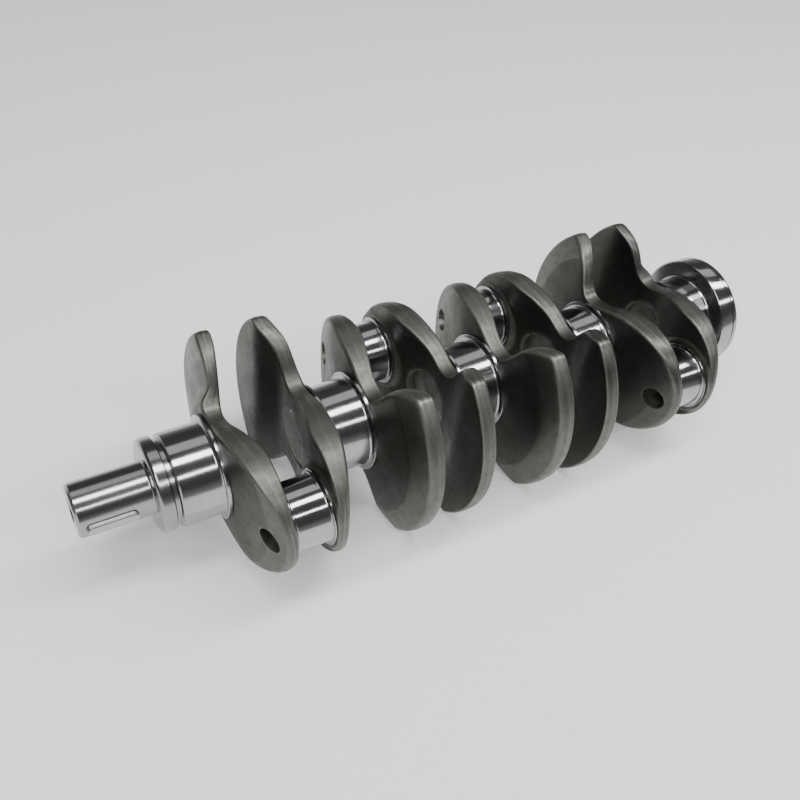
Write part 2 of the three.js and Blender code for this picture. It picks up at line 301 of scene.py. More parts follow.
# ---- material helpers -----------------------------------------------------------------
class Graph:
    """Short calls for building a node material."""

    def __init__(self, name):
        self.material = bpy.data.materials.new(name)
        self.material.use_nodes = True
        self.nodes = self.material.node_tree.nodes
        self.links = self.material.node_tree.links
        self.shader = self.nodes["Principled BSDF"]
        self.where = self.nodes.new("ShaderNodeTexCoord").outputs["Object"]

    def link(self, source, target):
        """Feed an input socket from an output, or set its colour or number."""
        if hasattr(source, "is_output"):
            self.links.new(source, target)
        elif isinstance(source, tuple):
            target.default_value = (*source, 1)
        else:
            target.default_value = source

    def scaled(self, scale):
        node = self.nodes.new("ShaderNodeMapping")
        node.inputs["Scale"].default_value = scale
        self.link(self.where, node.inputs["Vector"])
        return node.outputs["Vector"]

    def noise(self, scale, stretch=(1, 1, 1), detail=4.0, rough=0.55):
        """Noise with a number of cells per metre; a stretch multiplies it along each axis."""
        node = self.nodes.new("ShaderNodeTexNoise")
        node.inputs["Scale"].default_value = scale
        node.inputs["Detail"].default_value = detail
        node.inputs["Roughness"].default_value = rough
        self.link(self.scaled(stretch), node.inputs["Vector"])
        return node.outputs["Fac"]

    def turned(self, scale):
        """Uneven rings about the main axis, a number per metre of radius."""
        node = self.nodes.new("ShaderNodeTexNoise")
        node.noise_dimensions = "1D"
        node.inputs["Scale"].default_value = scale
        node.inputs["Detail"].default_value = 3
        self.link(self.radius(), node.inputs["W"])
        return node.outputs["Fac"]

    def blend(self, factor, a, b):
        """Number between a and b."""
        return self.math("ADD", a, self.math("MULTIPLY", factor, self.math("SUBTRACT", b, a)))

    def math(self, operation, a, b=0.0, c=0.0):
        node = self.nodes.new("ShaderNodeMath")
        node.operation = operation
        self.link(a, node.inputs[0])
        self.link(b, node.inputs[1])
        self.link(c, node.inputs[2])
        return node.outputs[0]

    def ramp(self, value, low, high, out_low=0.0, out_high=1.0):
        """A value mapped from one range to another and held at its ends."""
        node = self.nodes.new("ShaderNodeMapRange")
        self.link(value, node.inputs["Value"])
        node.inputs["From Min"].default_value = low
        node.inputs["From Max"].default_value = high
        node.inputs["To Min"].default_value = out_low
        node.inputs["To Max"].default_value = out_high
        return node.outputs["Result"]

    def mix(self, factor, a, b):
        """Colour between a and b."""
        node = self.nodes.new("ShaderNodeMix")
        node.data_type = "RGBA"
        self.link(factor, node.inputs[0])
        self.link(a, node.inputs[6])
        self.link(b, node.inputs[7])
        return node.outputs[2]

    def split(self, vector):
        node = self.nodes.new("ShaderNodeSeparateXYZ")
        self.link(vector, node.inputs[0])
        return node.outputs

    def radius(self):
        """Distance from the main axis, in metres."""
        _, y, z = self.split(self.where)
        return self.math("SQRT", self.math("ADD", self.math("MULTIPLY", y, y),
                                           self.math("MULTIPLY", z, z)))

    def end_facing(self):
        """1 on faces square to the main axis, 0 on rims and round surfaces."""
        normal = self.nodes.new("ShaderNodeNewGeometry").outputs["Normal"]
        x = self.split(normal)[0]
        return self.ramp(self.math("ABSOLUTE", x), 0.85, 0.97)

    def edge_wear(self):
        """1 on convex edges, 0 on flat and hollow places."""
        pointy = self.nodes.new("ShaderNodeNewGeometry").outputs["Pointiness"]
        return self.ramp(pointy, 0.515, 0.56)

    def bump(self, height, strength, distance, below=None):
        """Relief from a height of 0 to 1 times a distance, on top of the relief below."""
        node = self.nodes.new("ShaderNodeBump")
        node.inputs["Strength"].default_value = strength
        node.inputs["Distance"].default_value = distance
        self.link(height, node.inputs["Height"])
        if below is not None:
            self.link(below, node.inputs["Normal"])
        return node.outputs["Normal"]

    def finish(self, color, roughness, metallic=1.0, normal=None):
        self.link(color, self.shader.inputs["Base Color"])
        self.link(roughness, self.shader.inputs["Roughness"])
        self.shader.inputs["Metallic"].default_value = metallic
        if normal is not None:
            self.link(normal, self.shader.inputs["Normal"])
        return self.material


FORGED_DARK = (0.043, 0.0445, 0.038)
FORGED_PALE = (0.078, 0.078, 0.067)
# paler band on end faces past the rim crease: painted light on the chamfer, over turning rings
PAINTED_LIGHT_BAND_COLOR = (0.135, 0.135, 0.121)
# rims paler than faces: partly turned finish, partly painted light
RIM_TURNED_AND_LIT_COLOR = (0.160, 0.159, 0.143)
STAIN_COLOR = (0.036, 0.041, 0.045)
SCALE_COLOR = (0.050, 0.046, 0.038)
GRAIN_COLOR = (0.16, 0.16, 0.147)
PIT_COLOR = (0.030, 0.029, 0.027)
EDGE_COLOR = (0.36, 0.36, 0.34)
TURNING_MARKS = 5200             # radians of ring pattern per metre: rings 1.2 mm apart


def forged_steel(name, painted_light_band_strength):
    """Shot-cleaned forging with pits, oil stains and bright worn edges; the rims are painted paler
    than the faces, partly as turned finish and partly as painted light.

    On faces square to the main axis, a paler band starts at the rim chamfer: painted light on the
    chamfer, laid over turning rings and scaled by the band's strength.
    """
    g = Graph(name)
    mottle = g.noise(34, detail=6, rough=0.62)
    grain = g.noise(1100, detail=4, rough=0.7)
    scale = g.noise(210, detail=5, rough=0.68)
    stains = g.ramp(g.noise(11, detail=6, rough=0.68), 0.47, 0.66)
    pits = g.ramp(g.noise(430, detail=3, rough=0.6), 0.66, 0.74)
    faces = g.end_facing()
    round_parts = g.math("SUBTRACT", 1.0, faces)
    wear = g.math("MULTIPLY", g.edge_wear(), g.ramp(g.noise(85, detail=4), 0.3, 0.6, 0.35, 1.0))
    wave = g.math("SINE", g.math("MULTIPLY", g.radius(), TURNING_MARKS))
    rings = g.math("MULTIPLY", g.math("MULTIPLY_ADD", wave, 0.5, 0.5),
                   g.ramp(g.noise(46, detail=3), 0.38, 0.62))
    feed = g.noise(1.0, stretch=(3600, 30, 30), detail=3, rough=0.6)

    # painted light: a paler band from the rim crease outwards on end faces, over the turning rings
    wander = g.math("MULTIPLY", g.math("SUBTRACT", mottle, 0.5), 2 * MM)
    band = g.ramp(g.math("ADD", g.radius(), wander), CREASE_R - 0.6 * MM, CREASE_R + 0.4 * MM)
    band = g.math("MULTIPLY", g.math("MULTIPLY", band, faces),
                  g.ramp(rings, 0.0, 1.0, 0.45 * painted_light_band_strength, 0.75 * painted_light_band_strength))

    color = g.mix(g.ramp(mottle, 0.3, 0.72), FORGED_DARK, FORGED_PALE)
    color = g.mix(band, color, PAINTED_LIGHT_BAND_COLOR)
    # rims painted paler: turned finish plus painted light
    rims = g.math("MULTIPLY", round_parts, g.ramp(feed, 0.3, 0.7, 0.4, 0.9))
    color = g.mix(rims, color, RIM_TURNED_AND_LIT_COLOR)
    color = g.mix(g.math("MULTIPLY", stains, 0.5), color, STAIN_COLOR)
    color = g.mix(g.ramp(scale, 0.5, 0.72, 0.0, 0.4), color, SCALE_COLOR)
    color = g.mix(g.ramp(grain, 0.45, 0.75, 0.0, 0.25), color, GRAIN_COLOR)
    color = g.mix(g.math("MULTIPLY", pits, 0.7), color, PIT_COLOR)
    color = g.mix(g.math("MULTIPLY", wear, 0.75), color, EDGE_COLOR)

    rough = g.ramp(mottle, 0.3, 0.7, 0.47, 0.37)
    rough = g.math("ADD", rough, g.ramp(scale, 0.4, 0.7, 0.0, 0.1))
    rough = g.math("SUBTRACT", rough, g.math("MULTIPLY", stains, 0.1))
    rough = g.math("SUBTRACT", rough, g.math("MULTIPLY", band, 0.08))

    pitted = g.math("SUBTRACT", grain, g.math("MULTIPLY", pits, 1.5))
    relief = g.bump(g.math("MULTIPLY", rings, faces), 0.3, 0.03 * MM)
    relief = g.bump(g.math("MULTIPLY", feed, round_parts), 0.3, 0.04 * MM, relief)
    relief = g.bump(scale, 0.35, 0.25 * MM, relief)
    relief = g.bump(pitted, 0.35, 0.09 * MM, relief)
    return g.finish(color, rough, 0.9, relief)


def ground_steel(name, base, rough_low, rough_high, lines=0.12):
    """Ground or turned steel with fine and coarse lines running round the main axis."""
    g = Graph(name)
    faces = g.end_facing()
    fine = g.blend(faces, g.noise(1.0, stretch=(5200, 24, 24), detail=3, rough=0.6), g.turned(4200))
    coarse = g.blend(faces, g.noise(1.0, stretch=(700, 16, 16), detail=2), g.turned(700))
    haze = g.noise(24, detail=4)
    dark = tuple(0.72 * c for c in base)
    color = g.mix(g.ramp(haze, 0.42, 0.72, 0.0, 0.55), base, dark)
    color = g.mix(g.ramp(fine, 0.35, 0.75, 0.0, 0.35), color, dark)
    rough = g.ramp(g.math("MULTIPLY_ADD", fine, 0.5, g.math("MULTIPLY", haze, 0.5)),
                   0.3, 0.7, rough_low, rough_high)
    relief = g.bump(fine, lines, 0.02 * MM)
    relief = g.bump(coarse, lines * 0.7, 0.05 * MM, relief)
    return g.finish(color, rough, 1.0, relief)


def brass():
    """Machined brass, a little tarnished."""
    g = Graph("cage_brass")
    lines = g.noise(1.0, stretch=(3000, 40, 40), detail=3)
    tarnish = g.noise(160, detail=4)
    color = g.mix(g.ramp(tarnish, 0.4, 0.7), (0.60, 0.42, 0.16), (0.40, 0.27, 0.11))
    return g.finish(color, g.ramp(lines, 0.3, 0.7, 0.28, 0.42), 1.0, g.bump(lines, 0.2, 0.03 * MM))


def oiled_dark():
    """Dark oiled steel with drawn lines along the main axis and brighter edges."""
    g = Graph("key_steel")
    drawn = g.noise(1.0, stretch=(60, 2600, 2600), detail=3)
    color = g.mix(g.ramp(drawn, 0.35, 0.7), (0.20, 0.205, 0.21), (0.34, 0.345, 0.35))
    color = g.mix(g.math("MULTIPLY", g.edge_wear(), 0.8), color, (0.6, 0.6, 0.6))
    return g.finish(color, g.ramp(drawn, 0.3, 0.7, 0.26, 0.4), 1.0, g.bump(drawn, 0.2, 0.03 * MM))


# the second material paints the light band at full strength, the first only a trace of it
FORGED = forged_steel("forged_steel", 0.12)
PAINTED_LIGHT_BANDED = forged_steel("forged_steel_painted_light_band", 1.0)
JOURNAL = ground_steel("ground_journal", (0.40, 0.402, 0.41), 0.08, 0.19)
TURNED = ground_steel("turned_steel", (0.34, 0.342, 0.35), 0.13, 0.25, lines=0.18)
BEARING = ground_steel("bearing_steel", (0.66, 0.67, 0.69), 0.08, 0.16, lines=0.06)
BRASS = brass()
# the key's oiled steel, also used as painted shade round the flange's bolt holes
DARK = oiled_dark()


# ---- turned pieces ------------------------------------------------------------------------
def journal_end(face, side):
    """Fillet, thrust shoulder and stub of a main journal, from the journal outwards."""
    seat = face + side * (SHOULDER - SEAM)
    stub_end = face + side * (SHOULDER + MAIN_STUB)
    fillet = arc(face - side * FILLET, MAIN_R + FILLET, FILLET, -90, 0 if side > 0 else -180)
    edge = 0.35 * MM
    lead = 0.4 * MM
    points = fillet + [
        (face, SHOULDER_R - edge), (face + side * edge, SHOULDER_R),
        (seat, SHOULDER_R), (seat, MAIN_STUB_R),
        (stub_end - side * lead, MAIN_STUB_R), (stub_end, MAIN_STUB_R - lead),
        (stub_end, 0),
    ]
    return points if side > 0 else points[::-1]


def oil_hole(x, y, angle, radius, shaft_r):
    """Cutters for a countersunk oil hole in a journal, pointing out at an angle."""
    length = 16 * MM
    above = 2 * MM               # how far the bore's cutter stands out of the journal
    out = Vector((0, math.cos(angle), math.sin(angle)))
    foot = Vector((x, y, 0))
    bore = cylinder(radius, length, foot + out * (shaft_r + above - length / 2), out)
    sink = cylinder(radius - 0.5 * MM, 3 * MM, foot + out * (shaft_r + 0.4 * MM), out,
                    cone=radius + 2.8 * MM)
    return [bore, sink]


def main_oil_hole(i):
    return oil_hole(MAIN_X[i], 0, MAIN_OIL_ANGLE, MAIN_OIL_R, MAIN_R)


def stub_face(centre, normal):
    """Ends of the main journals' stubs, left dull inside the webs."""
    from_axis = math.hypot(centre.y, centre.z)
    beyond = min(abs(centre.x - x) for x in MAIN_X) > MAIN_WIDTH / 2 + SHOULDER
    return abs(normal.x) > 0.9 and from_axis < MAIN_STUB_R and beyond


def main_journals():
    """The three that stand between webs; the first and last are on the nose and the tail."""
    half = MAIN_WIDTH / 2
    for i in (1, 2, 3):
        bm = turn(journal_end(MAIN_X[i] - half, -1) + journal_end(MAIN_X[i] + half, 1))
        obj = new_object(f"main_journal_{i + 1}_ground", bm, JOURNAL)
        cut(obj, main_oil_hole(i))
        paint(obj, FORGED, stub_face)
        declare(obj, "crankshaft", f"main_journal_{i + 1}")


def crankpins():
    """Hollow pins, open to the webs' slanting bores; the hollow is painted dark forged steel as
    painted shade inside the bore.
    """
    half = PIN_WIDTH / 2 - SEAM
    face = PIN_WIDTH / 2 - PIN_SHOULDER
    end = PIN_WIDTH / 2 + PIN_STUB
    fillet = 1.5 * MM
    edge = 0.25 * MM
    right = arc(face - fillet, PIN_R + fillet, fillet, -90, 0) + [
        (face, PIN_SHOULDER_R - edge), (face + edge, PIN_SHOULDER_R),
        (half, PIN_SHOULDER_R), (half, PIN_STUB_R), (end, PIN_STUB_R), (end, PIN_BORE_R),
    ]
    left = [(-x, r) for x, r in reversed(right)]
    painted_shade_r = PIN_STUB_R - 0.1 * MM
    for i in range(4):
        bm = shift(turn(left + right, closed=True), PIN_X[i], PIN_Y[i])
        obj = new_object(f"crankpin_{i + 1}_ground", bm, JOURNAL)
        angle = math.radians(-90 + PIN_SIDE[i] * PIN_OIL_LEAN)
        cut(obj, oil_hole(PIN_X[i], PIN_Y[i], angle, PIN_OIL_R, PIN_R)
            + [mouth_cutter(web_place(k)) for k in (2 * i + 1, 2 * i + 2)])
        # painted shade: dark forged steel inside the pin's bore
        paint(obj, FORGED, lambda c, n: math.hypot(c.y - PIN_Y[i], c.z) < painted_shade_r)
        declare(obj, "crankshaft", f"crankpin_{i + 1}")


def threads(start, pitch, turns, root, crest):
    """Roots and crests of a threaded bore, a pitch apart; a negative pitch runs towards -X."""
    profile = []
    for k in range(turns):
        x = start + pitch * k
        profile += [(x, root), (x + pitch / 2, crest)]
    return profile


def nose():
    """Keyed snout, collar, relief groove and the first main journal, bored and threaded."""
    root = 6 * MM
    crest = root - 0.8 * MM
    bore_end = NOSE_END + 31 * MM
    drill_point = 3 * MM
    end_bevel = 1.5 * MM
    fillet = 1 * MM
    collar_round = 3 * MM
    relief_r = 25 * MM
    relief_corner = 0.6 * MM
    bevel = 0.8 * MM
    thread = threads(NOSE_END + 3 * MM, 1.5 * MM, 16, root, crest)
    hole = [(bore_end + drill_point, 0), (bore_end, crest)] + thread[::-1] + [
        (NOSE_END + 1.6 * MM, root + 0.4 * MM), (NOSE_END, root + 2 * MM)]
    outside = [(NOSE_END, SNOUT_R - end_bevel), (NOSE_END + end_bevel, SNOUT_R)]
    outside += arc(COLLAR_FRONT - fillet, SNOUT_R + fillet, fillet, -90, 0, 4)
    outside += [(COLLAR_FRONT, MAIN_R - 1.1 * collar_round)]
    outside += arc(COLLAR_FRONT + collar_round, MAIN_R - collar_round, collar_round, 165, 90)
    outside += [(COLLAR_REAR - 0.5 * MM, MAIN_R), (COLLAR_REAR, MAIN_R - 0.5 * MM),
                (COLLAR_REAR, relief_r + relief_corner), (COLLAR_REAR + relief_corner, relief_r),
                (MAIN_1_FRONT - relief_corner, relief_r), (MAIN_1_FRONT, relief_r + relief_corner),
                (MAIN_1_FRONT, MAIN_R - bevel), (MAIN_1_FRONT + bevel, MAIN_R)]
    outside += journal_end(MAIN_1_FRONT + MAIN_WIDTH, 1)
    obj = new_object("nose_shaft_turned", turn(hole + outside), TURNED)
    cut(obj, [key_slot()] + main_oil_hole(0))
    paint(obj, JOURNAL, lambda c, n: c.x > MAIN_1_FRONT)
    paint(obj, FORGED, lambda c, n: c.x > MAIN_1_FRONT and stub_face(c, n))
    declare(obj, "crankshaft", "nose_shaft")


KEY_LO, KEY_HI = [Vector(c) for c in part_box("snout_key")]


def key_slot():
    """Round-ended keyway cutter on the -Y side of the snout."""
    return round_ended(0.12 * MM, -(SNOUT_R - 3.5 * MM), -(SNOUT_R + 5 * MM))


def round_ended(grow, y_floor, y_top):
    """Prism with the key's round-ended outline, grown all round, between two heights."""
    r = (KEY_HI.z - KEY_LO.z) / 2 + grow
    front = arc(KEY_LO.x + r - grow, 0, r, 90, 270, 14)
    rear = arc(KEY_HI.x - r + grow, 0, r, -90, 90, 14)
    outline = front + rear
    bm = bmesh.new()
    low = [bm.verts.new((x, y_floor, z)) for x, z in outline]
    high = [bm.verts.new((x, y_top, z)) for x, z in outline]
    bm.faces.new(low)
    bm.faces.new(high[::-1])
    for k in range(len(outline)):
        n = (k + 1) % len(outline)
        bm.faces.new((low[k], high[k], high[n], low[n]))
    bmesh.ops.recalc_face_normals(bm, faces=bm.faces)
    return bm


def snout_key():
    bm = round_ended(0, KEY_HI.y, KEY_LO.y)
    edges = [e for e in bm.edges if e.calc_face_angle(0) > math.radians(60)]
    bmesh.ops.bevel(bm, geom=edges, offset=0.45 * MM, segments=2, affect="EDGES")
    obj = new_object("snout_key_drawn", bm, DARK)
    declare(obj, "crankshaft", "snout_key")


def tail():
    """Last main journal, seal surface and flange, with the pilot bore and the bolt holes."""
    bearing_rear = hi("pilot_outer_ring", 0)
    seat = lo("pilot_outer_ring", 0) - 0.2 * MM
    bore_r = hi("pilot_outer_ring", 1) + 0.05 * MM
    drill_r = 9 * MM
    drill_end = FLANGE_REAR - 30 * MM
    drill_point = 4 * MM
    seal_fillet = 2.2 * MM
    flange_round = 1.2 * MM
    groove = FLANGE_REAR - 4 * MM
    groove_depth = 0.5 * MM
    rear_round = 1 * MM
    outside = journal_end(MAIN_X[4] - MAIN_WIDTH / 2, -1)
    outside += arc(MAIN_5_REAR - seal_fillet, MAIN_R + seal_fillet, seal_fillet, -90, 0)
    outside += arc(MAIN_5_REAR + flange_round, FLANGE_R - flange_round, flange_round, 180, 90, 4)
    outside += [(groove - 0.6 * MM, FLANGE_R), (groove - 0.3 * MM, FLANGE_R - groove_depth),
                (groove + 0.3 * MM, FLANGE_R - groove_depth), (groove + 0.6 * MM, FLANGE_R)]
    outside += arc(FLANGE_REAR - rear_round, FLANGE_R - rear_round, rear_round, 90, 0, 4)
    inside_bore = [(FLANGE_REAR, bore_r + 0.9 * MM), (FLANGE_REAR - 0.5 * MM, bore_r + 0.1 * MM),
                   (bearing_rear, bore_r), (seat, bore_r), (seat, drill_r),
                   (drill_end, drill_r), (drill_end - drill_point, 0)]
    obj = new_object("tail_shaft_ground", turn(outside + inside_bore), JOURNAL)
    cutters = main_oil_hole(4) + [tapped_hole(TAU * (k + 0.5) / 6) for k in range(6)]
    cutters.append(cylinder(DOWEL_R + 0.05 * MM, 18 * MM, (FLANGE_REAR, DOWEL_Y, 0), (1, 0, 0)))
    cut(obj, cutters)
    paint(obj, TURNED, lambda c, n: c.x > MAIN_5_REAR - 0.5 * MM and abs(n.x) > 0.7)
    paint(obj, FORGED, lambda c, n: c.x < MAIN_5_REAR and stub_face(c, n))
    # painted shade in the bolt holes and a painted dark reflection on the flange's front face
    paint(obj, DARK, bolt_holes_painted_shade)
    declare(obj, "crankshaft", "tail_shaft")


def bolt_holes_painted_shade(centre, normal):
    """Inside of the bolt holes and the flange's front face round them, painted dark: painted shade in
    the holes and a painted dark reflection on the front face.
    """
    from_axis = math.hypot(centre.y, centre.z)
    return MAIN_5_REAR < centre.x < FLANGE_REAR - 0.3 * MM and 23 * MM < from_axis < 34 * MM


def tapped_hole(angle):
    """Cutter with a countersink and thread rings, from the flange's rear face."""
    circle_r = 28.5 * MM
    crest = 4.2 * MM
    root = 5 * MM
    sink_r = 6.2 * MM
    above = FLANGE_REAR + 1 * MM
    hole_end = FLANGE_REAR - 12 * MM
    profile = [(above, 0), (above, sink_r), (FLANGE_REAR - 1.2 * MM, crest)]
    profile += threads(FLANGE_REAR - 1.6 * MM, -1.25 * MM, 7, root, crest)
    profile += [(hole_end, crest), (hole_end - 1 * MM, 0)]
    return shift(turn(profile, 36), 0, circle_r * math.cos(angle), circle_r * math.sin(angle))


def dowel():
    foot = FLANGE_REAR - 9 * MM
    tip = 0.8 * MM
    profile = [(foot, 0), (foot, DOWEL_R)]
    profile += arc(DOWEL_TIP - tip, DOWEL_R - tip, tip, 90, 0, 5) + [(DOWEL_TIP, 0)]
    obj = new_object("flange_dowel_ground", shift(turn(profile, 48), 0, DOWEL_Y, 0), BEARING)
    declare(obj, "crankshaft", "flange_dowel")


# ---- pilot bearing ---------------------------------------------------------------------------
def pilot_bearing():
    """Two races, a cage with ball pockets and eight balls, in the flange's bore."""
    centre = mid("pilot_outer_ring", 0)
    half = hi("pilot_outer_ring", 0) - centre
    outer_r = hi("pilot_outer_ring", 1)
    bore_r = 7.5 * MM
    ball_r = 3 * MM
    pitch_r = 12.5 * MM
    land = 2.1 * MM              # from the pitch circle to a race's shoulder
    race_r = ball_r + 0.15 * MM
    reach = math.degrees(math.acos(land / race_r))
    outer_round = 0.7 * MM
    bore_round = 0.6 * MM
    bevel = 0.3 * MM

    outer = [(-half, pitch_r + land)]
    outer += arc(-half + outer_round, outer_r - outer_round, outer_round, 180, 90, 4)
    outer += arc(half - outer_round, outer_r - outer_round, outer_round, 90, 0, 4)
    outer += [(half, pitch_r + land + bevel), (half - bevel, pitch_r + land)]
    outer += arc(0, pitch_r, race_r, 90 - reach, 90 + reach, 12)
    inner = [(-half, pitch_r - land)] + arc(0, pitch_r, race_r, -90 - reach, -90 + reach, 12)
    inner += [(half - bevel, pitch_r - land), (half, pitch_r - land - bevel)]
    inner += arc(half - bore_round, bore_r + bore_round, bore_round, 0, -90, 4)
    inner += arc(-half + bore_round, bore_r + bore_round, bore_round, -90, -180, 4)
    ring = new_object("pilot_outer_race", shift(turn(outer, RACE_ROUND, True), centre), BEARING)
    declare(ring, "crankshaft", "pilot_outer_ring")
    ring = new_object("pilot_inner_race", shift(turn(inner, RACE_ROUND, True), centre), BEARING)
    declare(ring, "pilot_inner", "pilot_inner_ring")

    cage_half = 4.4 * MM
    cage_in, cage_out = pitch_r - 0.9 * MM, pitch_r + 0.9 * MM
    band = [(-cage_half, cage_in), (-cage_half, cage_out), (cage_half, cage_out), (cage_half, cage_in)]
    cage = new_object("pilot_cage_machined", shift(turn(band, RACE_ROUND, True), centre), BRASS)
    pockets = []
    for i in range(1, 9):
        node = f"pilot_ball_{i}"
        middle = [mid(node, axis) for axis in range(3)]
        obj = new_object(f"{node}_lapped", sphere(ball_r, 32, 20, middle), BEARING, sharp=60)
        declare(obj, "pilot_cage_set", node)
        pockets.append(sphere(ball_r + 0.25 * MM, 28, 18, middle))
    cut(cage, pockets)
    declare(cage, "pilot_cage_set", "pilot_cage")


# ---- webs ------------------------------------------------------------------------------------
# A web is drawn in (u, v, w): u runs from the main axis to the crankpin, w from the
# pin's thrust plane outwards.
FLAT_R = 33 * MM                 # seat of the main journal
CREASE_THICKNESS = 16 * MM
RIM_THICKNESS = 10.5 * MM
TIP_THICKNESS = 6.5 * MM
TIP_U = LOBE_CENTRE + LOBE_R
HUB_R = 34 * MM                  # end webs: hub standing on a thinner counterweight
HUB_FOOT_R = 46 * MM
HUB_FOOT_THICKNESS = 12.3 * MM
THIN_START = 14 * MM             # u where the thinning fades in, towards the counterweight
THIN_BLEND = 34 * MM
BOSS_R = 24 * MM                 # thrust boss round the crankpin
BOSS_SKIRT = 3 * MM
TOP_ROUND = 2.4 * MM
LOW_ROUND = 1.7 * MM
FLASH_WIDTH = 2.6 * MM           # trimmed forging flash round the rim
FLASH_PROUD = 0.22 * MM
MOUTH_R = 7.5 * MM               # slanting lightening bore
MOUTH_LENGTH = 36 * MM
MOUTH_SLANT = math.radians(40)
MOUTH_FOOT = Vector((61 * MM, 0, WEB_THICKNESS - 8.9 * MM))
MOUTH_AXIS = Vector((math.sin(MOUTH_SLANT), 0, math.cos(MOUTH_SLANT)))
SOCKET_R = MAIN_STUB_R + SEAM    # through socket of the main journal's stub
PIN_SOCKET_R = PIN_STUB_R + SEAM
SOCKET_BEVEL = 0.45 * MM
SOCKET_ROUND = 72
PIN_SOCKET_ROUND = 64
OUTLINE_POINTS = 420
RIM_STEPS = 5                    # facets across each rounded rim edge
FAN_START = math.radians(130)    # from the crankpin to where the counterweight's arc begins
WAIST = [(-37.5, 54.6), (-30, 50), (-24.5, 43), (-20, 35.5), (-14.5, 30.6),
         (-7, 30), (1, 33), (10, 36.8), (22, 39.4)]          # (u, v) in mm, horn to lobe
RELIEF = [(-100, 1), (-43, 1), (-24, 9), (3, 9), (32, 1.5), (100, 1.5)]    # (u, depth) in mm
END_RELIEF = [(-100, 1), (-43, 1), (-24, 5.5), (-12, 9), (3, 9), (32, 1.5), (100, 1.5)]


def smooth_curve(points, steps):
    """Points of a Catmull-Rom curve through some points, leaving out its end."""
    ends = [points[0]] + points + [points[-1]]
    out = []
    for a, b, c, d in zip(ends, ends[1:], ends[2:], ends[3:]):
        for k in range(steps):
            t = k / steps
            out.append(0.5 * (2 * b + (c - a) * t + (2 * a - 5 * b + 4 * c - d) * t * t
                              + (3 * b - a - 3 * c + d) * t * t * t))
    return out


def resample(points, count):
    """Evenly spaced points along a closed polyline."""
    loop = np.array(points + points[:1])
    along = np.concatenate([[0], np.cumsum(np.linalg.norm(np.diff(loop, axis=0), axis=1))])
    at = np.linspace(0, along[-1], count, endpoint=False)
    return np.stack([np.interp(at, along, loop[:, 0]), np.interp(at, along, loop[:, 1])], 1)


def web_outline():
    """Outline and inward normals, counter-clockwise, with the horns' corners rounded."""
    def fan_point(a):
        return np.array([CW_R * math.cos(a), CW_R * math.sin(a)])

    upper = [np.array([LOBE_CENTRE + LOBE_R * math.cos(a), LOBE_R * math.sin(a)])
             for a in np.linspace(0, math.pi / 2, 40, endpoint=False)]
    lobe_top = np.array([LOBE_CENTRE, LOBE_R])
    flank = [lobe_top] + [np.array(p) * MM for p in WAIST[::-1]] + [fan_point(FAN_START)]
    upper += smooth_curve(flank, 10)
    upper += [fan_point(a) for a in np.linspace(FAN_START, math.pi, 60, endpoint=False)]
    lower = [np.array([p[0], -p[1]]) for p in upper[:0:-1]]
    loop = resample(upper + [fan_point(math.pi)] + lower, OUTLINE_POINTS)
    kernel = np.hanning(11)[1:-1]          # running average that rounds the corners
    kernel /= kernel.sum()
    reach = len(kernel) // 2
    soft = sum(weight * np.roll(loop, k - reach, axis=0) for k, weight in enumerate(kernel))
    soft = resample(list(soft), OUTLINE_POINTS)
    tangent = np.roll(soft, -1, axis=0) - np.roll(soft, 1, axis=0)
    tangent /= np.linalg.norm(tangent, axis=1)[:, None]
    return soft, np.stack([-tangent[:, 1], tangent[:, 0]], 1)


def soft_min(a, b, k):
    """The smaller of two values, blended where they are less than k apart."""
    h = np.clip(0.5 + 0.5 * (b - a) / k, 0, 1)
    return b + (a - b) * h - k * h * (1 - h)


def ease(value, start, end):
    """0 at the start, 1 at the end and a smooth step between."""
    t = np.clip((value - start) / (end - start), 0, 1)
    return t * t * (3 - 2 * t)


def slope(value, start, end, from_height, to_height):
    """Straight line through two heights, carried on beyond them."""
    return from_height + (value - start) * (to_height - from_height) / (end - start)


def outer_height(u, v, is_end):
    """Thickness of a web, falling away from the main journal's seat."""
    r = np.hypot(u, v)
    cone = slope(r, FLAT_R, CREASE_R, WEB_THICKNESS, CREASE_THICKNESS)
    rim = slope(r, CREASE_R, CW_R, CREASE_THICKNESS, RIM_THICKNESS)
    wedge = slope(u, FLAT_R, TIP_U, WEB_THICKNESS, TIP_THICKNESS)
    height = soft_min(soft_min(cone, WEB_THICKNESS, 0.8 * MM), rim, 0.7 * MM)
    height = soft_min(height, wedge, 2.5 * MM)
    if is_end:
        foot = slope(r, HUB_FOOT_R, CW_R, HUB_FOOT_THICKNESS, RIM_THICKNESS)
        thin = WEB_THICKNESS + (foot - WEB_THICKNESS) * ease(r, HUB_R, HUB_FOOT_R)
        side = ease(-u, -THIN_START, THIN_BLEND - THIN_START)
        height = height + (soft_min(height, thin, 3 * MM) - height) * side
    return height


def inner_height(u, v, is_end):
    """Sloping inner face, with the thrust boss standing on it."""
    at, depth = (np.array(END_RELIEF if is_end else RELIEF) * MM).T
    blur = 2.5 * MM              # rounds the bends of the table
    shifts = [blur * k for k in (-1.5, -0.5, 0.5, 1.5)]
    relief = sum(np.interp(u + along, at, depth) for along in shifts) / len(shifts)
    return relief * ease(np.hypot(u - THROW, v), BOSS_R, BOSS_R + BOSS_SKIRT)


def circle_points(cu, radius, count):
    """Points of a circle about a centre on the u axis."""
    a = np.arange(count) * TAU / count
    return np.stack([cu + radius * np.cos(a), radius * np.sin(a)], 1)


